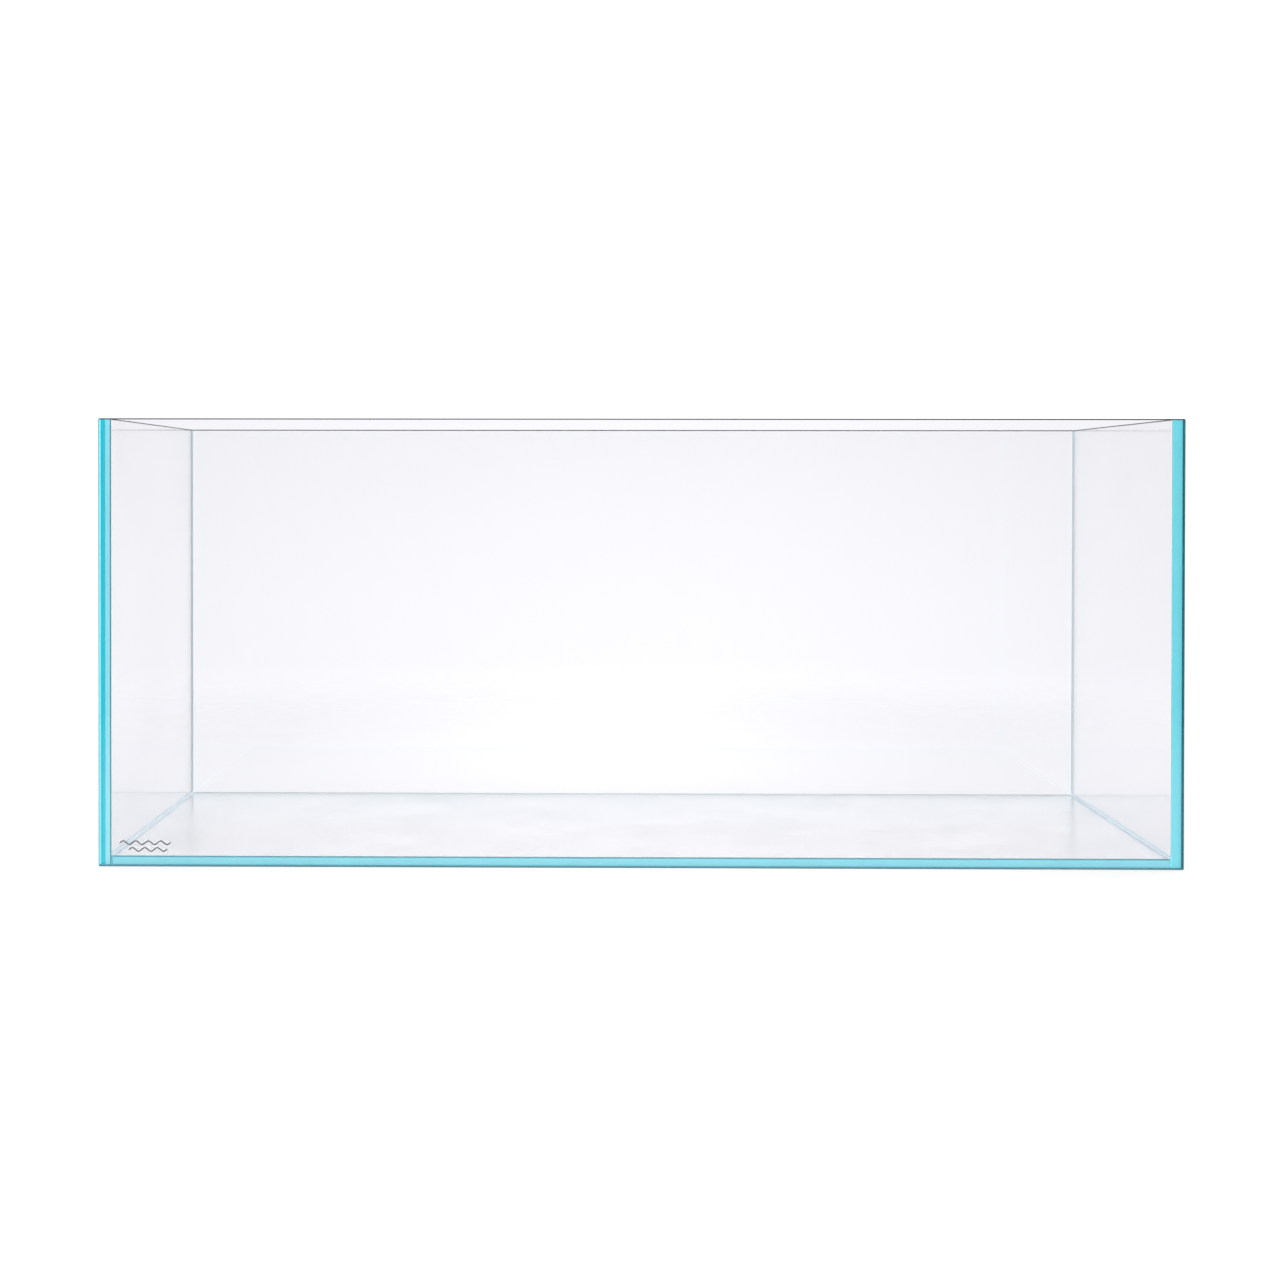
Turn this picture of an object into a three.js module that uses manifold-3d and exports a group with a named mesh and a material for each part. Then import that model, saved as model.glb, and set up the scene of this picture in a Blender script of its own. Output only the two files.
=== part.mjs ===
// Rimless glass aquarium tank: five low-iron float-glass panes bonded with clear silicone.
// Millimetres, +Z up. The origin is the middle of the footprint, on the surface the tank stands on.
// +X runs along the tank to the right, the front pane faces -Y, and the top is open.
//
// The front and back panes run the whole width and cover the ends of the side panes.
// The base pane lies between the four walls. Every joint is a bead of silicone of its own.

import * as THREE from 'three';
import { mergeVertices } from 'three/addons/utils/BufferGeometryUtils.js';
import Module from 'manifold-3d';

const wasm = await Module();
wasm.setup();

// Driving dimensions of the whole tank, outside measures.
const TANK_WIDTH = 1200;
const TANK_DEPTH = 500;
const TANK_HEIGHT = 497;

// Glass and silicone.
const WALL_GLASS = 12;     // thickness of the four walls
const BASE_GLASS = 10;     // thickness of the base pane
const ARRIS = 1;           // 45 degree arris ground along every pane edge
const BOND = 1;            // silicone between two panes
const SIDE_COVE = 3;       // hollow fillet between the base and each side pane
const END_COVE = 1;        // slimmer fillet along the front and back and up each inside corner
const COVE_STEPS = 6;      // straight steps in each hollow fillet

// Printed ripple mark low on the left of the front pane.
const PRINT_THICKNESS = 0.1;
const RIPPLE_LINE = 1.3;
const RIPPLE_PITCH = 14;
const RIPPLE_HEIGHT = 4;
const RIPPLE_STEPS_PER_WAVE = 12;
const UPPER_RIPPLE = { waves: 4, left: -576, height: 26.5 };
const LOWER_RIPPLE = { waves: 3, left: -566, height: 19 };

// Measures that follow from the driving ones.
const INNER_WIDTH = TANK_WIDTH - 2 * WALL_GLASS;
const INNER_DEPTH = TANK_DEPTH - 2 * WALL_GLASS;
const BEAD_BOTTOM = ARRIS;
const BEAD_TOP = TANK_HEIGHT - ARRIS;
const COVE_BOTTOM = BASE_GLASS + SIDE_COVE;

function glassMaterial() {
  return new THREE.MeshStandardMaterial({
    color: 0xd6f3f8, roughness: 0.03, metalness: 0, transparent: true, opacity: 0.35,
  });
}

function siliconeMaterial() {
  return new THREE.MeshStandardMaterial({
    color: 0xcfdfe8, roughness: 0.35, metalness: 0, transparent: true, opacity: 0.6,
  });
}

function printMaterial() {
  return new THREE.MeshStandardMaterial({ color: 0x4b4b4d, roughness: 0.6, metalness: 0 });
}

function namedMesh(name, geometry, material) {
  const mesh = new THREE.Mesh(geometry, material);
  mesh.name = name;
  return mesh;
}

// A flat prism: the outline lies in the XY plane, and the prism stands up from z = 0.
function prism(outline, depth) {
  const shape = new THREE.Shape(outline);
  return new THREE.ExtrudeGeometry(shape, { depth, steps: 1, bevelEnabled: false });
}

// ---- Panes -------------------------------------------------------------------------------

// A rectangle about the origin with its four corners dubbed off by one arris.
function dubbedRectangle(width, height) {
  const x = width / 2;
  const y = height / 2;
  return [
    new THREE.Vector2(x - ARRIS, -y),
    new THREE.Vector2(x, -y + ARRIS),
    new THREE.Vector2(x, y - ARRIS),
    new THREE.Vector2(x - ARRIS, y),
    new THREE.Vector2(-x + ARRIS, y),
    new THREE.Vector2(-x, y - ARRIS),
    new THREE.Vector2(-x, -y + ARRIS),
    new THREE.Vector2(-x + ARRIS, -y),
  ];
}

// A pane about the origin, its thickness along Z, with an arris along both edges of its rim.
function paneGeometry(width, height, thickness) {
  const middle = thickness - 2 * ARRIS;
  const geometry = new THREE.ExtrudeGeometry(new THREE.Shape(dubbedRectangle(width, height)), {
    depth: middle,
    steps: 1,
    bevelEnabled: true,
    bevelThickness: ARRIS,
    bevelSize: ARRIS,
    bevelOffset: -ARRIS,
    bevelSegments: 1,
  });
  geometry.translate(0, 0, -middle / 2);
  return geometry;
}

// A standing pane in its wall's own frame: the wall faces -Y at the given distance.
function wallPane(name, width, outerDistance) {
  const mesh = namedMesh(name, paneGeometry(width, TANK_HEIGHT, WALL_GLASS), glassMaterial());
  mesh.rotation.x = Math.PI / 2;
  mesh.position.set(0, -(outerDistance - WALL_GLASS / 2), TANK_HEIGHT / 2);
  return mesh;
}

function basePane() {
  const width = INNER_WIDTH - 2 * BOND;
  const depth = INNER_DEPTH - 2 * BOND;
  const mesh = namedMesh('base_pane', paneGeometry(width, depth, BASE_GLASS), glassMaterial());
  mesh.position.z = BASE_GLASS / 2;
  return mesh;
}

// ---- Silicone beads ----------------------------------------------------------------------

// The hollow quarter arc of a fillet in the corner (x, y), from along +X round to along +Y.
function coveArc(x, y, radius) {
  const points = [];
  for (let step = 0; step <= COVE_STEPS; step += 1) {
    const angle = -Math.PI / 2 - (step / COVE_STEPS) * (Math.PI / 2);
    const arcX = x + radius + radius * Math.cos(angle);
    const arcY = y + radius + radius * Math.sin(angle);
    points.push(new THREE.Vector2(arcX, arcY));
  }
  return points;
}

// The section of a base bead: x is the way in from the wall, y is up from the ground.
// It fills the arrises on both sides of the joint, flush with the underside of the tank.
function baseBeadOutline(cove) {
  return [
    new THREE.Vector2(-ARRIS, 0),
    new THREE.Vector2(BOND + ARRIS, 0),
    new THREE.Vector2(BOND, ARRIS),
    new THREE.Vector2(BOND, BASE_GLASS - ARRIS),
    new THREE.Vector2(BOND + ARRIS, BASE_GLASS),
    ...coveArc(0, BASE_GLASS, cove),
    new THREE.Vector2(0, ARRIS),
  ];
}

// Draws both ends of a bead back by one for one with the way in, so beads meet in a mitre.
function mitreEnds(geometry, length) {
  const position = geometry.attributes.position;
  for (let i = 0; i < position.count; i += 1) {
    const end = position.getZ(i) > length / 2 ? 1 : -1;
    position.setZ(i, end * (length / 2 - position.getX(i)));
  }
}

// A base bead in its wall's own frame: the wall's inner face looks along +Y.
function baseBead(name, cove, length, innerDistance) {
  const geometry = prism(baseBeadOutline(cove), length);
  mitreEnds(geometry, length);
  const inward = new THREE.Vector3(0, 1, 0);
  const upward = new THREE.Vector3(0, 0, 1);
  const alongWall = new THREE.Vector3(1, 0, 0);
  geometry.applyMatrix4(new THREE.Matrix4().makeBasis(inward, upward, alongWall));
  const mesh = namedMesh(name, geometry, siliconeMaterial());
  mesh.position.y = -innerDistance;
  return mesh;
}

// One wall: its pane and the bead at its foot, turned about Z to its side of the tank.
function wall(side, turn, paneWidth, outerDistance, beadLength, cove) {
  const group = new THREE.Group();
  group.rotation.z = turn;
  group.add(wallPane(`${side}_pane`, paneWidth, outerDistance));
  group.add(baseBead(`base_seam_${side}`, cove, beadLength, outerDistance - WALL_GLASS));
  return group;
}

function toManifold(geometry) {
  const bare = geometry.clone();
  bare.deleteAttribute('normal');
  bare.deleteAttribute('uv');
  const merged = mergeVertices(bare);
  return new wasm.Manifold(new wasm.Mesh({
    numProp: 3,
    vertProperties: new Float32Array(merged.attributes.position.array),
    triVerts: new Uint32Array(merged.index.array),
  }));
}

function fromManifold(solid) {
  const mesh = solid.getMesh();
  const geometry = new THREE.BufferGeometry();
  geometry.setAttribute('position', new THREE.BufferAttribute(mesh.vertProperties, 3));
  geometry.setIndex(new THREE.BufferAttribute(mesh.triVerts, 1));
  geometry.computeVertexNormals();
  return geometry;
}

// Turns an outline drawn for the left front corner to the corner on the given sides.
function forCorner(outline, sideX, sideY) {
  return outline.map((point) => new THREE.Vector2(point.x * -sideX, point.y * -sideY));
}

// The bond fills the whole joint between a side pane's end and the front or back pane,
// and the arrises on its outer edge, flush with the outside of the tank.
function cornerBondOutline() {
  return [
    new THREE.Vector2(-WALL_GLASS, -ARRIS),
    new THREE.Vector2(-WALL_GLASS + ARRIS, 0),
    new THREE.Vector2(0, 0),
    new THREE.Vector2(0, BOND),
    new THREE.Vector2(-WALL_GLASS + ARRIS, BOND),
    new THREE.Vector2(-WALL_GLASS, BOND + ARRIS),
  ];
}

// The fillet also fills the arris on the side pane's inner edge.
function cornerCoveOutline() {
  return [
    new THREE.Vector2(-ARRIS, BOND),
    new THREE.Vector2(-ARRIS, 0),
    ...coveArc(0, 0, END_COVE),
    new THREE.Vector2(0, BOND + ARRIS),
  ];
}

// An upright bead: the bond runs from the ground to the rim, the fillet from the base beads up.
function cornerBead(name, sideX, sideY) {
  const bond = prism(forCorner(cornerBondOutline(), sideX, sideY), BEAD_TOP - BEAD_BOTTOM);
  const cove = prism(forCorner(cornerCoveOutline(), sideX, sideY), BEAD_TOP - COVE_BOTTOM);
  bond.translate(0, 0, BEAD_BOTTOM);
  cove.translate(0, 0, COVE_BOTTOM);
  const solid = toManifold(bond).add(toManifold(cove));
  const mesh = namedMesh(name, fromManifold(solid), siliconeMaterial());
  mesh.position.set(sideX * INNER_WIDTH / 2, sideY * INNER_DEPTH / 2, 0);
  return mesh;
}

// ---- Printed mark ------------------------------------------------------------------------

// A ribbon of even width along a sine wave that starts at the origin.
function rippleOutline(waves) {
  const steps = waves * RIPPLE_STEPS_PER_WAVE;
  const upper = [];
  const lower = [];
  for (let step = 0; step <= steps; step += 1) {
    const phase = (step / RIPPLE_STEPS_PER_WAVE) * 2 * Math.PI;
    const slope = (RIPPLE_HEIGHT * Math.PI / RIPPLE_PITCH) * Math.cos(phase);
    const middle = new THREE.Vector2(
      (step / RIPPLE_STEPS_PER_WAVE) * RIPPLE_PITCH,
      (RIPPLE_HEIGHT / 2) * Math.sin(phase),
    );
    const across = new THREE.Vector2(-slope, 1).setLength(RIPPLE_LINE / 2);
    upper.push(middle.clone().add(across));
    lower.unshift(middle.clone().sub(across));
  }
  return [...upper, ...lower];
}

function ripple(name, { waves, left, height }) {
  const mesh = namedMesh(name, prism(rippleOutline(waves), PRINT_THICKNESS), printMaterial());
  mesh.rotation.x = Math.PI / 2;
  mesh.position.set(left, -TANK_DEPTH / 2, height);
  return mesh;
}

// ---- Assembly ----------------------------------------------------------------------------

const tank = new THREE.Group();
const quarterTurn = Math.PI / 2;
const sidePaneWidth = INNER_DEPTH - 2 * BOND;

tank.add(wall('front', 0, TANK_WIDTH, TANK_DEPTH / 2, INNER_WIDTH, END_COVE));
tank.add(wall('right', quarterTurn, sidePaneWidth, TANK_WIDTH / 2, INNER_DEPTH, SIDE_COVE));
tank.add(wall('back', 2 * quarterTurn, TANK_WIDTH, TANK_DEPTH / 2, INNER_WIDTH, END_COVE));
tank.add(wall('left', -quarterTurn, sidePaneWidth, TANK_WIDTH / 2, INNER_DEPTH, SIDE_COVE));
tank.add(basePane());

for (const [sideName, sideX] of [['left', -1], ['right', 1]]) {
  tank.add(cornerBead(`corner_seam_front_${sideName}`, sideX, -1));
  tank.add(cornerBead(`corner_seam_back_${sideName}`, sideX, 1));
}

tank.add(ripple('ripple_mark_upper', UPPER_RIPPLE));
tank.add(ripple('ripple_mark_lower', LOWER_RIPPLE));

export default tank;
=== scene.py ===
import math

import bmesh
import bpy
from mathutils import Matrix, Vector


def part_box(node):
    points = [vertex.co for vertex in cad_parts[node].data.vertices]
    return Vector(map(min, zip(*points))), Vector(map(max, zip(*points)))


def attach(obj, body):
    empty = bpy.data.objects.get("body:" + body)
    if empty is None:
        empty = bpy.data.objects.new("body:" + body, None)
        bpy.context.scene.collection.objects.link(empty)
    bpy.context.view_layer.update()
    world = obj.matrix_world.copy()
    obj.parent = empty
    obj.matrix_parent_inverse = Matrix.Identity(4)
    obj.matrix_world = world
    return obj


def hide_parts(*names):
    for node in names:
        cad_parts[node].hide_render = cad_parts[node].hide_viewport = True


MM = 0.001

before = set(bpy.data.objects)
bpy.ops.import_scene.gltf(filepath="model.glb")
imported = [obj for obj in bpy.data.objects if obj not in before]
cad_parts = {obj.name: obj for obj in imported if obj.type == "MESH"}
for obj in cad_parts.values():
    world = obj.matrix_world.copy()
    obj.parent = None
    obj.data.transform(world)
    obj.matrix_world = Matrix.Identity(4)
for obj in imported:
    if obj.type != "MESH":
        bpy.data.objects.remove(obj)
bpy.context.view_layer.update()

# ---- Measures of the tank, taken from the frame -------------------------------------------

front_low, front_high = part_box("front_pane")
side_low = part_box("left_pane")[0]

HALF_WIDTH = front_high.x
HALF_DEPTH = -front_low.y
GLASS = front_high.y - front_low.y
BASE_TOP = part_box("base_pane")[1].z
INNER_X = HALF_WIDTH - GLASS
INNER_Y = HALF_DEPTH - GLASS
BOND = side_low.y + INNER_Y
ARRIS = 1.0 * MM
SIDE_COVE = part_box("base_seam_left")[1].z - BASE_TOP
END_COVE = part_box("base_seam_front")[1].z - BASE_TOP
COVE_FOOT = BASE_TOP + SIDE_COVE
SEAM_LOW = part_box("corner_seam_front_left")[0].z
SEAM_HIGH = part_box("corner_seam_front_left")[1].z

# Silicone keeps this far off the glass it wets, so that no two surfaces coincide.
SKIN_GAP = 0.02 * MM
TOUCHING = 2 * SKIN_GAP    # a silicone face nearer to a plane than this lies against it

# Parts of a face's normal that tell which way the face looks.
SQUARE_ON = 0.999          # along an axis: a flat face
LEANING = 0.1              # towards a side: an arris of that side, too
FACING = 0.5               # mostly towards a side


# ---- Materials ------------------------------------------------------------------------------

GLASS_IOR = 1.52
SILICONE_IOR = 1.41
WETTED_IOR = GLASS_IOR / SILICONE_IOR   # glass against silicone
MATCHED_IOR = 1.0001                    # silicone against wetted glass: the glass has bent the ray
SOFT_IOR = 1.2                          # milky skin, made to bend light less than clear silicone


def new_material(name):
    material = bpy.data.materials.new(name)
    material.use_nodes = True
    shader = material.node_tree.nodes["Principled BSDF"]
    return material, material.node_tree, shader


def noise(tree, scale, detail=3.0, stretch=(1, 1, 1)):
    """Fractal noise over the object's own space, its grain drawn out along one or more axes."""
    place = tree.nodes.new("ShaderNodeTexCoord")
    mapping = tree.nodes.new("ShaderNodeMapping")
    mapping.inputs["Scale"].default_value = [1 / s for s in stretch]
    grain = tree.nodes.new("ShaderNodeTexNoise")
    grain.inputs["Scale"].default_value = scale
    grain.inputs["Detail"].default_value = detail
    tree.links.new(place.outputs["Object"], mapping.inputs["Vector"])
    tree.links.new(mapping.outputs["Vector"], grain.inputs["Vector"])
    return grain.outputs["Fac"]


def spread(tree, source, low, high):
    """The noise's middle range, drawn out to run from low to high."""
    span = tree.nodes.new("ShaderNodeMapRange")
    span.inputs["From Min"].default_value = 0.3
    span.inputs["From Max"].default_value = 0.7
    span.inputs["To Min"].default_value = low
    span.inputs["To Max"].default_value = high
    tree.links.new(source, span.inputs["Value"])
    return span.outputs["Result"]


def tint(tree, shader, source, colour, change, sockets=("Base Color",)):
    """Colour that drifts by the given share to either side of the colour."""
    mix = tree.nodes.new("ShaderNodeMix")
    mix.data_type = "RGBA"
    mix.inputs["A"].default_value = (*[c * (1 - change) for c in colour], 1)
    mix.inputs["B"].default_value = (*[min(c * (1 + change), 1) for c in colour], 1)
    tree.links.new(spread(tree, source, 0, 1), mix.inputs["Factor"])
    for socket in sockets:
        tree.links.new(mix.outputs["Result"], shader.inputs[socket])


def bump(tree, shader, source, height):
    node = tree.nodes.new("ShaderNodeBump")
    node.inputs["Distance"].default_value = height
    tree.links.new(source, node.inputs["Height"])
    tree.links.new(node.outputs["Normal"], shader.inputs["Normal"])


def clear_glass(name, colour, roughness=(0.0, 0.015)):
    """Polished float glass: clean, with a barely uneven tint and polish."""
    material, tree, shader = new_material(name)
    shader.inputs["IOR"].default_value = GLASS_IOR
    shader.inputs["Transmission Weight"].default_value = 1
    tint(tree, shader, noise(tree, 2.5), colour, 0.004)
    tree.links.new(spread(tree, noise(tree, 9.0), *roughness), shader.inputs["Roughness"])
    return material


def wetted(name, colour, ior):
    """A face inside a joint, where silicone has wetted the glass."""
    material, tree, shader = new_material(name)
    shader.inputs["IOR"].default_value = ior
    shader.inputs["Transmission Weight"].default_value = 1
    shader.inputs["Roughness"].default_value = 0.0
    tint(tree, shader, noise(tree, 60.0), colour, 0.01)
    return material


def edge(name, colour, clear=0.0, painted_glow=0.0):
    """A flat polished pane edge: the deep colour of glass looked at along its length. A weak
    emission stands in for the daylight that the pane pipes to its edge."""
    material, tree, shader = new_material(name)
    shader.inputs["IOR"].default_value = GLASS_IOR
    shader.inputs["Transmission Weight"].default_value = clear
    shader.inputs["Emission Strength"].default_value = painted_glow
    tint(tree, shader, noise(tree, 35.0), colour, 0.02, ("Base Color", "Emission Color"))
    polish = noise(tree, 420.0)
    tree.links.new(spread(tree, polish, 0.08, 0.22), shader.inputs["Roughness"])
    bump(tree, shader, polish, 0.01 * MM)
    return material


def arris(name, colour, painted_glow=0.0, shine=0.5):
    """The narrow ground bevel along a pane edge, left matt by the belt."""
    material, tree, shader = new_material(name)
    shader.inputs["IOR"].default_value = GLASS_IOR
    shader.inputs["Specular IOR Level"].default_value = shine
    # Emission here is a painted glow, standing in for light the glass carries to the arris.
    shader.inputs["Emission Strength"].default_value = painted_glow
    grind = noise(tree, 900.0, 4.0)
    tint(tree, shader, grind, colour, 0.08, ("Base Color", "Emission Color"))
    tree.links.new(spread(tree, grind, 0.35, 0.6), shader.inputs["Roughness"])
    bump(tree, shader, grind, 0.02 * MM)
    return material


def silicone(name, colour, clear, ior=SILICONE_IOR, painted_glow=0.0):
    """The free skin of clear silicone: smooth, slightly milky, tooled a little unevenly."""
    material, tree, shader = new_material(name)
    # Emission here is a painted glow, standing in for light that reaches the skin through the glass.
    shader.inputs["Emission Strength"].default_value = painted_glow
    shader.inputs["IOR"].default_value = ior
    shader.inputs["Transmission Weight"].default_value = clear
    tint(tree, shader, noise(tree, 45.0), colour, 0.04, ("Base Color", "Emission Color"))
    ripple = noise(tree, 140.0, 2.0)
    tree.links.new(spread(tree, ripple, 0.3, 0.45), shader.inputs["Roughness"])
    bump(tree, shader, ripple, 0.05 * MM)
    return material


def print_ink():
    material, tree, shader = new_material("print")
    density = noise(tree, 700.0, 4.0)
    tint(tree, shader, density, (0.11, 0.108, 0.108), 0.25)
    tree.links.new(spread(tree, density, 0.5, 0.7), shader.inputs["Roughness"])
    bump(tree, shader, density, 0.01 * MM)
    return material


PAINTED_EDGE_GLOW = 0.6   # strength of the painted glow that stands in for the light a pane pipes to its end

# The two sides differ in painted light and shade, as they would in a light that is stronger on the
# left:
# the left one's end has light, deep and pale bands painted on, and the right one's is even, with a
# dark line of painted shade outside it.
materials = {
    # The panes are one glass: the front copy is tinted darker, and the side copy a little darker, than
    # the back, as painted shade.
    "glass_front": clear_glass("glass_front", (0.85, 0.85, 0.885)),
    "glass_back": clear_glass("glass_back", (0.997, 0.997, 0.997)),
    "glass_side": clear_glass("glass_side", (0.97, 0.97, 0.98), (0.05, 0.07)),
    "glass_base": clear_glass("glass_base", (0.985, 0.985, 0.99)),
    "glass_base_top": clear_glass("glass_base_top", (0.985, 0.985, 0.99), (0.22, 0.26)),
    "bonded_face": wetted("bonded_face", (0.99, 0.99, 0.99), WETTED_IOR),
    "edge": edge("edge", (0.30, 0.88, 0.96), painted_glow=PAINTED_EDGE_GLOW),
    "edge_light": edge("edge_light", (0.36, 0.92, 1.0), painted_glow=PAINTED_EDGE_GLOW),
    "edge_deep": edge("edge_deep", (0.0, 0.64, 0.74), painted_glow=PAINTED_EDGE_GLOW),
    "edge_side": edge("edge_side", (0.22, 0.91, 1.0), painted_glow=PAINTED_EDGE_GLOW),
    # Left ends: painted light. Right ends: painted shade, with no glow.
    "edge_pale": edge("edge_pale", (0.28, 0.90, 0.98), painted_glow=PAINTED_EDGE_GLOW),
    "edge_dark": edge("edge_dark", (0.0, 0.33, 0.41)),
    # Back ends of the side panes: glass painted grey as a line of painted shade, darker on the left,
    # with a painted glow.
    "edge_inward": edge("edge_inward", (0.34, 0.40, 0.42), painted_glow=0.4),
    "edge_inward_pale": edge("edge_inward_pale", (0.60, 0.64, 0.66), painted_glow=0.55),
    "edge_clear": edge("edge_clear", (0.97, 0.98, 0.99), clear=0.98),
    # Rim arrises painted near black: a line of painted shade.
    "arris_rim": arris("arris_rim", (0.02, 0.025, 0.03), shine=0.1),
    "arris_foot": arris("arris_foot", (0.05, 0.20, 0.24), shine=0.3),
    "arris_dark": arris("arris_dark", (0.01, 0.24, 0.31), shine=0.3),
    "arris_bonded": arris("arris_bonded", (0.16, 0.50, 0.60), painted_glow=0.2),
    "arris_line": arris("arris_line", (0.15, 0.48, 0.54), painted_glow=PAINTED_EDGE_GLOW),
    "silicone_side": silicone("silicone_side", (0.86, 0.91, 0.98), 0.12, SOFT_IOR, 0.18),
    # Clear silicone tinted cyan, in a darker teal copy as painted shade and a bright copy as painted
    # light.
    "silicone_front": silicone("silicone_front", (0.25, 0.60, 0.68), 0.35),
    "silicone_bright": silicone("silicone_bright", (0.52, 0.93, 1.0), 0.2),
    "silicone_upright": silicone("silicone_upright", (0.88, 0.92, 0.94), 0.0, painted_glow=0.12),
    "silicone_back": silicone("silicone_back", (0.88, 0.93, 0.94), 0.35, painted_glow=0.05),
    "silicone_bond": wetted("silicone_bond", (0.95, 0.98, 0.99), MATCHED_IOR),
    "print": print_ink(),
}


# ---- Mesh helpers ---------------------------------------------------------------------------

PLACE_DIGITS = 7   # places are rounded to a ten-thousandth of a millimetre


def ordered(bm, choose):
    """Vertices and faces in order of place, which every run repeats, with each face's material."""
    verts = sorted(bm.verts, key=lambda vert: [round(c, PLACE_DIGITS) for c in vert.co])
    rank = {vert: index for index, vert in enumerate(verts)}
    places = [[round(c, PLACE_DIGITS) for c in vert.co] for vert in verts]
    faces = []
    for face in bm.faces:
        ring = [rank[vert] for vert in face.verts]
        first = ring.index(min(ring))
        faces.append((ring[first:] + ring[:first], choose(face.calc_center_median(), face.normal)))
    return places, sorted(faces)


def add_piece(name, bm, node, choose):
    """Makes a piece of the mesh; choose gives the material key of a face by its place and normal."""
    places, faces = ordered(bm, choose)
    bm.free()
    mesh = bpy.data.meshes.new(name)
    mesh.from_pydata(places, [], [ring for ring, key in faces])
    keys = sorted({key for ring, key in faces})
    for key in keys:
        mesh.materials.append(materials[key])
    for polygon, (ring, key) in zip(mesh.polygons, faces):
        polygon.material_index = keys.index(key)
    piece = bpy.data.objects.new(name, mesh)
    bpy.context.scene.collection.objects.link(piece)
    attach(piece, "root")
    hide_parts(node)
    return piece


def cut(bm, axis, places):
    normal = Vector((0, 0, 0))
    normal[axis] = 1
    for place in places:
        geometry = bm.verts[:] + bm.edges[:] + bm.faces[:]
        bmesh.ops.bisect_plane(bm, geom=geometry, plane_co=normal * place, plane_no=normal, dist=1e-7)


def axis_of(normal):
    """The axis a flat face looks along, or None on an arris."""
    for axis in range(3):
        if abs(normal[axis]) > SQUARE_ON:
            return axis
    return None


# ---- Panes ----------------------------------------------------------------------------------

# Painted bands of light and shade across the end of a side pane, as distances from its inner face.
LIGHT_BAND = 6.2 * MM
DEEP_BAND = 11.6 * MM


def pane_mesh(node):
    """A pane from its box in the frame, with its arrises."""
    low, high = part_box(node)
    bm = bmesh.new()
    bmesh.ops.create_cube(bm, size=1)
    centre = (low + high) / 2
    size = high - low
    for vert in bm.verts:
        vert.co = Vector([centre[i] + vert.co[i] * size[i] for i in range(3)])
    bmesh.ops.bevel(bm, geom=bm.edges[:], offset=ARRIS, segments=1, profile=0.5, affect="EDGES")
    return bm


def open_arris(centre, normal):
    """An arris that no silicone covers, by whether it is on the rim, an outer upright or the foot."""
    # The rim's arris takes painted shade, near black.
    if centre.z > SEAM_HIGH:
        return "arris_rim"
    return "arris_dark" if centre.x > HALF_WIDTH - ARRIS else "arris_foot"


def in_seam(z):
    return SEAM_LOW < z < SEAM_HIGH


def wall_pane(name, node, side, glass):
    """The front (-1) or back (+1) pane, which covers the ends of the side panes and base."""
    bm = pane_mesh(node)
    reach = INNER_X - END_COVE
    cut(bm, 0, [-INNER_X, -reach, reach, INNER_X])
    cut(bm, 2, [SEAM_LOW, BASE_TOP - ARRIS, BASE_TOP + END_COVE, COVE_FOOT, SEAM_HIGH])

    def choose(centre, normal):
        axis = axis_of(normal)
        x = abs(centre.x)
        inner = normal.y * side < -LEANING
        if axis is None:
            if inner and in_seam(centre.z) and abs(normal.x) > LEANING:
                return "edge_dark" if centre.x > 0 else "edge_pale"
            if inner and centre.z < SEAM_LOW:
                return "arris_bonded"
            return open_arris(centre, normal)
        # End faces: painted light on the left, painted shade on the right.
        if axis == 0:
            return "edge_dark" if centre.x > 0 else "edge_pale"
        if axis == 2:
            return "edge" if normal.z > 0 else "edge_clear"
        if not inner or not in_seam(centre.z):
            return glass
        # Behind the side panes' ends and at the foot, the back pane's inner face is painted with the
        # edge's cyan and painted glow, standing in for the lit ends seen through it.
        if side > 0 and (x > INNER_X or centre.z < BASE_TOP - ARRIS):
            return "edge"
        foot = BASE_TOP - ARRIS < centre.z < BASE_TOP + END_COVE
        return "bonded_face" if x < INNER_X and (x > reach or foot) else glass

    return add_piece(name, bm, node, choose)


def side_pane(name, node, side, glass):
    """The left (-1) or right (+1) pane, which stands between the front and back panes."""
    bm = pane_mesh(node)
    reach = INNER_Y - END_COVE
    cut(bm, 0, [side * (INNER_X + LIGHT_BAND), side * (INNER_X + DEEP_BAND)])
    cut(bm, 1, [-reach, reach])
    cut(bm, 2, [SEAM_LOW, BASE_TOP - ARRIS, COVE_FOOT, SEAM_HIGH])

    def band(centre, depth):
        # Back ends: the grey lines of painted shade.
        if centre.y > 0:
            return "edge_inward" if side < 0 else "edge_inward_pale"
        if side > 0:
            return "edge_side"
        if depth < LIGHT_BAND:
            return "edge_light"
        return "edge_deep" if depth < DEEP_BAND else "edge_pale"

    def choose(centre, normal):
        axis = axis_of(normal)
        depth = abs(centre.x) - INNER_X
        inner = normal.x * side < -LEANING
        if axis is None:
            if in_seam(centre.z) and abs(normal.y) > LEANING:
                if centre.y > 0:
                    return band(centre, depth)
                if inner:
                    return "arris_bonded" if side < 0 else "edge_side"
                # The outer arris here: painted shade on the right, painted light on the left.
                return "edge_dark" if side > 0 else "edge_pale"
            if inner and centre.z < SEAM_LOW:
                return "arris_bonded"
            return open_arris(centre, normal)
        if axis == 1:
            return band(centre, depth)
        if axis == 2:
            return "edge" if normal.z > 0 else "edge_clear"
        wetted_place = centre.z < COVE_FOOT or abs(centre.y) > reach
        # At the foot the wetted inner face is painted with the edge's cyan and painted glow, standing
        # in for the lit base end seen through it.
        if inner and in_seam(centre.z) and wetted_place:
            return "edge" if centre.z < BASE_TOP - ARRIS else "bonded_face"
        return glass

    return add_piece(name, bm, node, choose)


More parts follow.
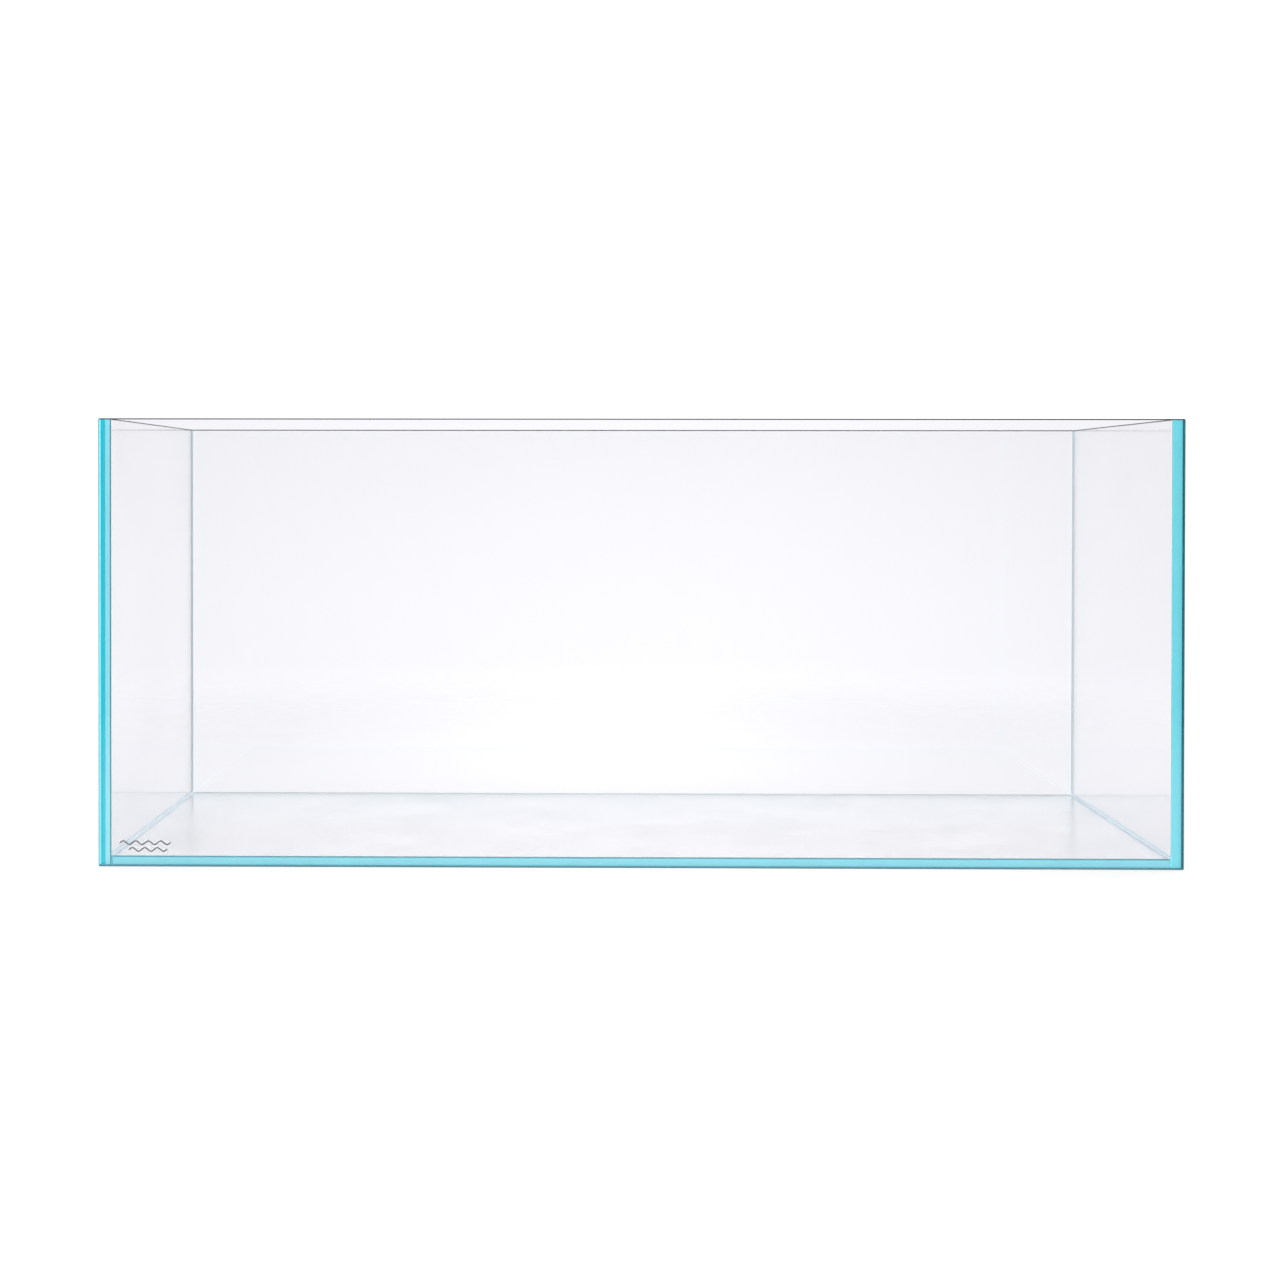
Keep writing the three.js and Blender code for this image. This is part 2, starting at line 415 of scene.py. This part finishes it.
def base_pane(name, node):
    bm = pane_mesh(node)
    reach_x = INNER_X - SIDE_COVE
    reach_y = INNER_Y - BOND - ARRIS
    cut(bm, 0, [-reach_x, reach_x])

    def choose(centre, normal):
        axis = axis_of(normal)
        front = normal.y < -FACING
        if axis is None:
            if front:
                return "arris_line"
            return "edge_clear" if abs(normal.z) < LEANING else "bonded_face"
        if axis != 2:
            return "edge" if front else "edge_clear"
        covered = abs(centre.x) > reach_x or abs(centre.y) > reach_y
        if normal.z < 0:
            return "glass_base"
        return "bonded_face" if covered else "glass_base_top"

    return add_piece(name, bm, node, choose)


wall_pane("front_glass", "front_pane", -1, "glass_front")
wall_pane("back_glass", "back_pane", 1, "glass_back")
side_pane("left_glass", "left_pane", -1, "glass_side")
side_pane("right_glass", "right_pane", 1, "glass_side")
base_pane("base_glass", "base_pane")


# ---- Silicone -------------------------------------------------------------------------------

COVE_STEPS = 10


def cove_arc(x, y, radius):
    """The hollow quarter arc of a fillet in the corner (x, y), from along +x round to along +y."""
    points = []
    for step in range(COVE_STEPS + 1):
        angle = -math.pi / 2 - (step / COVE_STEPS) * math.pi / 2
        points.append((x + radius + radius * math.cos(angle), y + radius + radius * math.sin(angle)))
    return points


def shrink(bm, distance):
    """Draws every face of a closed mesh in by the distance."""
    bm.normal_update()
    moves = [vert.normal * (-distance * vert.calc_shell_factor()) for vert in bm.verts]
    for vert, move in zip(bm.verts, moves):
        vert.co += move


def base_bead(name, node, inward, along, wall, half_length, cove, skin, mitre="silicone_bond"):
    """A bead round the base. In its outline x is the way in from the wall, y is up."""
    outline = [
        (-ARRIS, 0), (BOND + ARRIS, 0), (BOND, ARRIS), (BOND, BASE_TOP - ARRIS),
        (BOND + ARRIS, BASE_TOP),
    ] + cove_arc(0, BASE_TOP, cove) + [(0, ARRIS)]
    bm = bmesh.new()
    rings = []
    for end in (-1, 1):
        ring = []
        for x, y in outline:
            point = inward * (x - wall) + along * end * (half_length - x)
            ring.append(bm.verts.new((point.x, point.y, y)))
        rings.append(ring)
    count = len(outline)
    for i in range(count):
        j = (i + 1) % count
        bm.faces.new((rings[0][i], rings[0][j], rings[1][j], rings[1][i]))
    bm.faces.new(rings[0][::-1])
    bm.faces.new(rings[1])
    bmesh.ops.recalc_face_normals(bm, faces=bm.faces[:])
    shrink(bm, SKIN_GAP)

    def choose(centre, normal):
        on_cove = centre.z > BASE_TOP - TOUCHING and normal.z > LEANING / 2
        underside = centre.z < ARRIS and normal.z < -SQUARE_ON
        front_mitre = abs(normal.z) < LEANING and normal.y < -FACING and abs(normal.x) > FACING
        if front_mitre:
            return mitre
        return skin if on_cove or underside else "silicone_bond"

    return add_piece(name, bm, node, choose)


X = Vector((1, 0, 0))
Y = Vector((0, 1, 0))
base_bead("silicone_base_front", "base_seam_front", Y, X, INNER_Y, INNER_X, END_COVE, "silicone_front")
base_bead("silicone_base_back", "base_seam_back", -Y, X, INNER_Y, INNER_X, END_COVE, "silicone_back")
# The left bead's front mitre takes the bright copy, painted light; the right one's takes the edge's
# cyan and painted glow.
base_bead("silicone_base_left", "base_seam_left", X, Y, INNER_X, INNER_Y, SIDE_COVE, "silicone_side",
          "silicone_bright")
base_bead("silicone_base_right", "base_seam_right", -X, Y, INNER_X, INNER_Y, SIDE_COVE,
          "silicone_side", "edge")


def corner_bead(name, node, side_x, side_y):
    """An upright bead. In its outlines x is the way in from the side pane's inner face, and y is
    the way in from the front or back pane. Below the cove's foot there is only the bond."""
    outer = [(-GLASS, BOND + ARRIS), (-GLASS, -ARRIS), (-GLASS + ARRIS, 0), (0, 0)]
    cove = cove_arc(0, 0, END_COVE) + [(0, BOND + ARRIS), (-ARRIS, BOND)]
    inner = (0, BOND)
    last = (-GLASS + ARRIS, BOND)
    lower = outer + [inner, (-ARRIS, BOND), last]
    upper = outer + cove + [last]
    step = [(0, 0)] + cove + [inner]
    bm = bmesh.new()
    verts = {}

    def ring(outline, z):
        for x, y in outline:
            if (x, y, z) not in verts:
                place = (side_x * (INNER_X - x), side_y * (INNER_Y - y), z)
                verts[(x, y, z)] = bm.verts.new(place)
        return [verts[(x, y, z)] for x, y in outline]

    for outline, bottom, top in ((lower, SEAM_LOW, COVE_FOOT), (upper, COVE_FOOT, SEAM_HIGH)):
        low, high = ring(outline, bottom), ring(outline, top)
        for i in range(len(outline)):
            j = (i + 1) % len(outline)
            bm.faces.new((low[i], low[j], high[j], high[i]))
    for outline, z in ((lower, SEAM_LOW), (step, COVE_FOOT), (upper, SEAM_HIGH)):
        bm.faces.new(ring(outline, z))
    bmesh.ops.recalc_face_normals(bm, faces=bm.faces[:])
    shrink(bm, SKIN_GAP)

    def choose(centre, normal):
        x = INNER_X - abs(centre.x)
        y = INNER_Y - abs(centre.y)
        on_cove = x > TOUCHING and y > TOUCHING
        outside = x < -GLASS + ARRIS / 4
        flush = abs(x) < TOUCHING and y > BOND
        end = abs(normal.z) > SQUARE_ON
        skin = "silicone_upright"
        # Front corner skins: the darker copy, painted shade, on the left; the bright copy, painted
        # light, on the right.
        if side_y < 0:
            skin = "silicone_front" if side_x < 0 else "silicone_bright"
        return skin if on_cove or outside or flush or end else "silicone_bond"

    return add_piece(name, bm, node, choose)


for name_y, side_y in (("front", -1), ("back", 1)):
    for name_x, side_x in (("left", -1), ("right", 1)):
        node = f"corner_seam_{name_y}_{name_x}"
        corner_bead(f"silicone_corner_{name_y}_{name_x}", node, side_x, side_y)


# ---- Printed mark ---------------------------------------------------------------------------

RIPPLE_LINE = 1.3 * MM
STEPS_PER_WAVE = 24
CAP_STEPS = 8
PRINT_LIFT = 0.02 * MM


def ripple_mark(name, node, waves):
    """A ribbon of ink with round ends along a sine wave, within the node's box."""
    low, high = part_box(node)
    half = RIPPLE_LINE / 2
    pitch = (high.x - low.x - RIPPLE_LINE) / waves
    swing = (high.z - low.z - RIPPLE_LINE) / 2
    middle = (low.z + high.z) / 2
    upper, lower = [], []
    for step in range(waves * STEPS_PER_WAVE + 1):
        phase = step / STEPS_PER_WAVE * 2 * math.pi
        x = low.x + half + step / STEPS_PER_WAVE * pitch
        z = middle + swing * math.sin(phase)
        across = Vector((-swing * 2 * math.pi / pitch * math.cos(phase), 1)).normalized() * half
        upper.append((x + across.x, z + across.y))
        lower.append((x - across.x, z - across.y))
    outline = lower + round_cap(lower[-1], upper[-1]) + upper[::-1] + round_cap(upper[0], lower[0])
    bm = bmesh.new()
    front = [bm.verts.new((x, low.y, z)) for x, z in outline]
    back = [bm.verts.new((x, high.y - PRINT_LIFT, z)) for x, z in outline]
    for i in range(len(outline)):
        j = (i + 1) % len(outline)
        bm.faces.new((front[i], front[j], back[j], back[i]))
    bm.faces.new(front)
    bm.faces.new(back)
    bmesh.ops.recalc_face_normals(bm, faces=bm.faces[:])
    return add_piece(name, bm, node, lambda centre, normal: "print")


def round_cap(start, end):
    """The points of a half circle bulging to the right of the way from start to end."""
    centre = (Vector(start) + Vector(end)) / 2
    arm = Vector(start) - centre
    points = []
    for step in range(1, CAP_STEPS):
        turn = Matrix.Rotation(step / CAP_STEPS * math.pi, 2)
        point = centre + turn @ arm
        points.append((point.x, point.y))
    return points


ripple_mark("ripples_upper", "ripple_mark_upper", 4)
ripple_mark("ripples_lower", "ripple_mark_lower", 3)


# ---- Stage, light and camera ----------------------------------------------------------------

FLOOR_FADE = (1.0, 2.2)    # distances from the middle between which the floor fades out
FLOOR_SEGMENTS = 96
FLOOR_DROP = 0.5 * MM
FLOOR_COLOUR = (0.30, 0.30, 0.30)
FLOOR_GLOW = 0.69
FLOOR_PAINTED_POOL = 0.17          # painted pool of light, added below and behind the tank
FLOOR_POOL_CENTRE = -0.03
FLOOR_POOL_SPREAD = 0.45


def floor():
    """A pale light-table floor with a painted pool of light along its middle, that fades into the
    white surround.
    """
    bm = bmesh.new()
    bmesh.ops.create_circle(bm, cap_ends=True, segments=FLOOR_SEGMENTS, radius=FLOOR_FADE[1])
    mesh = bpy.data.meshes.new("floor")
    bm.to_mesh(mesh)
    bm.free()
    material, tree, shader = new_material("floor")
    tint(tree, shader, noise(tree, 1.5, 1.0), FLOOR_COLOUR, 0.002)
    shader.inputs["Roughness"].default_value = 0.9
    shader.inputs["Specular IOR Level"].default_value = 0.0
    shader.inputs["Emission Color"].default_value = (1, 1, 1, 1)
    place = tree.nodes.new("ShaderNodeTexCoord")
    split = tree.nodes.new("ShaderNodeSeparateXYZ")
    tree.links.new(place.outputs["Object"], split.inputs[0])
    # Painted pool of light: extra glow falling off across x from the middle.
    offset = math_node(tree, "SUBTRACT", split.outputs["X"], FLOOR_POOL_CENTRE)
    scaled = math_node(tree, "DIVIDE", offset, FLOOR_POOL_SPREAD)
    falloff = math_node(tree, "POWER", math.exp(-1), math_node(tree, "MULTIPLY", scaled, scaled))
    painted_pool = math_node(tree, "MULTIPLY", falloff, FLOOR_PAINTED_POOL)
    tree.links.new(math_node(tree, "ADD", painted_pool, FLOOR_GLOW), shader.inputs["Emission Strength"])
    length = tree.nodes.new("ShaderNodeVectorMath")
    length.operation = "LENGTH"
    tree.links.new(place.outputs["Object"], length.inputs[0])
    alpha = fade(tree, length.outputs["Value"], FLOOR_FADE, 1, 0)
    tree.links.new(alpha, shader.inputs["Alpha"])
    mesh.materials.append(material)
    ground = bpy.data.objects.new("floor", mesh)
    ground.location.z = -FLOOR_DROP
    bpy.context.scene.collection.objects.link(ground)


BACKDROP = 1.0
GLOW = 0.295
GLOW_DIRECTION = (0.02, -0.09)   # x and z parts of the direction of the glow's middle
GLOW_SPREAD = (0.32, 0.19)
CEILING = 0.53             # added above the backdrop
CEILING_FADE = (0.05, 0.13)
ROOM = 0.45                # share left of the white behind the camera
ROOM_FADE = (-0.6, -0.15)


def math_node(tree, operation, a, b):
    node = tree.nodes.new("ShaderNodeMath")
    node.operation = operation
    for socket, value in zip(node.inputs, (a, b)):
        if isinstance(value, (int, float)):
            socket.default_value = value
        else:
            tree.links.new(value, socket)
    return node.outputs[0]


def fade(tree, source, places, low, high):
    node = tree.nodes.new("ShaderNodeMapRange")
    node.interpolation_type = "SMOOTHSTEP"
    node.inputs["From Min"].default_value, node.inputs["From Max"].default_value = places
    node.inputs["To Min"].default_value, node.inputs["To Max"].default_value = low, high
    tree.links.new(source, node.inputs["Value"])
    return node.outputs["Result"]


def studio():
    """A white surround: a soft glow on the backdrop, a brighter ceiling, a dimmer room in front."""
    world = bpy.data.worlds.new("studio")
    world.use_nodes = True
    bpy.context.scene.world = world
    tree = world.node_tree
    background = tree.nodes["Background"]
    place = tree.nodes.new("ShaderNodeTexCoord")
    split = tree.nodes.new("ShaderNodeSeparateXYZ")
    tree.links.new(place.outputs["Generated"], split.inputs[0])
    squares = []
    for socket, centre, width in zip("XZ", GLOW_DIRECTION, GLOW_SPREAD):
        offset = math_node(tree, "SUBTRACT", split.outputs[socket], centre)
        scaled = math_node(tree, "DIVIDE", offset, width)
        squares.append(math_node(tree, "MULTIPLY", scaled, scaled))
    distance = math_node(tree, "ADD", squares[0], squares[1])
    falloff = math_node(tree, "POWER", math.exp(-1), distance)
    ahead = math_node(tree, "GREATER_THAN", split.outputs["Y"], 0.0)
    glow = math_node(tree, "MULTIPLY", math_node(tree, "MULTIPLY", falloff, ahead), GLOW)
    ceiling = fade(tree, split.outputs["Z"], CEILING_FADE, BACKDROP, BACKDROP + CEILING)
    room = fade(tree, split.outputs["Y"], ROOM_FADE, ROOM, 1)
    strength = math_node(tree, "MULTIPLY", math_node(tree, "ADD", glow, ceiling), room)
    tree.links.new(strength, background.inputs["Strength"])
    background.inputs["Color"].default_value = (1, 1, 1, 1)


SENSOR_MM = 36
VIEW_END = 200             # metres, well past the floor
FOCAL_MM = 58.40
SHIFT = (0.0595, -0.1058)
CAMERA_PLACE = (-0.0547, -2.5428, 0.4249)
YAW, PITCH, ROLL = math.radians(0.735), math.radians(-0.571), math.radians(0.062)


def camera():
    data = bpy.data.cameras.new("camera")
    data.sensor_width = SENSOR_MM
    data.lens = FOCAL_MM
    data.shift_x, data.shift_y = SHIFT
    data.clip_end = VIEW_END
    eye = bpy.data.objects.new("camera", data)
    turn = Matrix.Rotation(YAW, 4, "Z") @ Matrix.Rotation(math.pi / 2 + PITCH, 4, "X")
    eye.matrix_world = Matrix.Translation(CAMERA_PLACE) @ turn @ Matrix.Rotation(ROLL, 4, "Z")
    bpy.context.scene.collection.objects.link(eye)
    bpy.context.scene.camera = eye


def render_settings():
    scene = bpy.context.scene
    scene.view_settings.view_transform = "Standard"
    scene.cycles.use_denoising = True
    scene.cycles.max_bounces = 48
    scene.cycles.transmission_bounces = 48
    scene.cycles.diffuse_bounces = 8
    scene.cycles.glossy_bounces = 16
    scene.cycles.transparent_max_bounces = 32


floor()
studio()
camera()
render_settings()
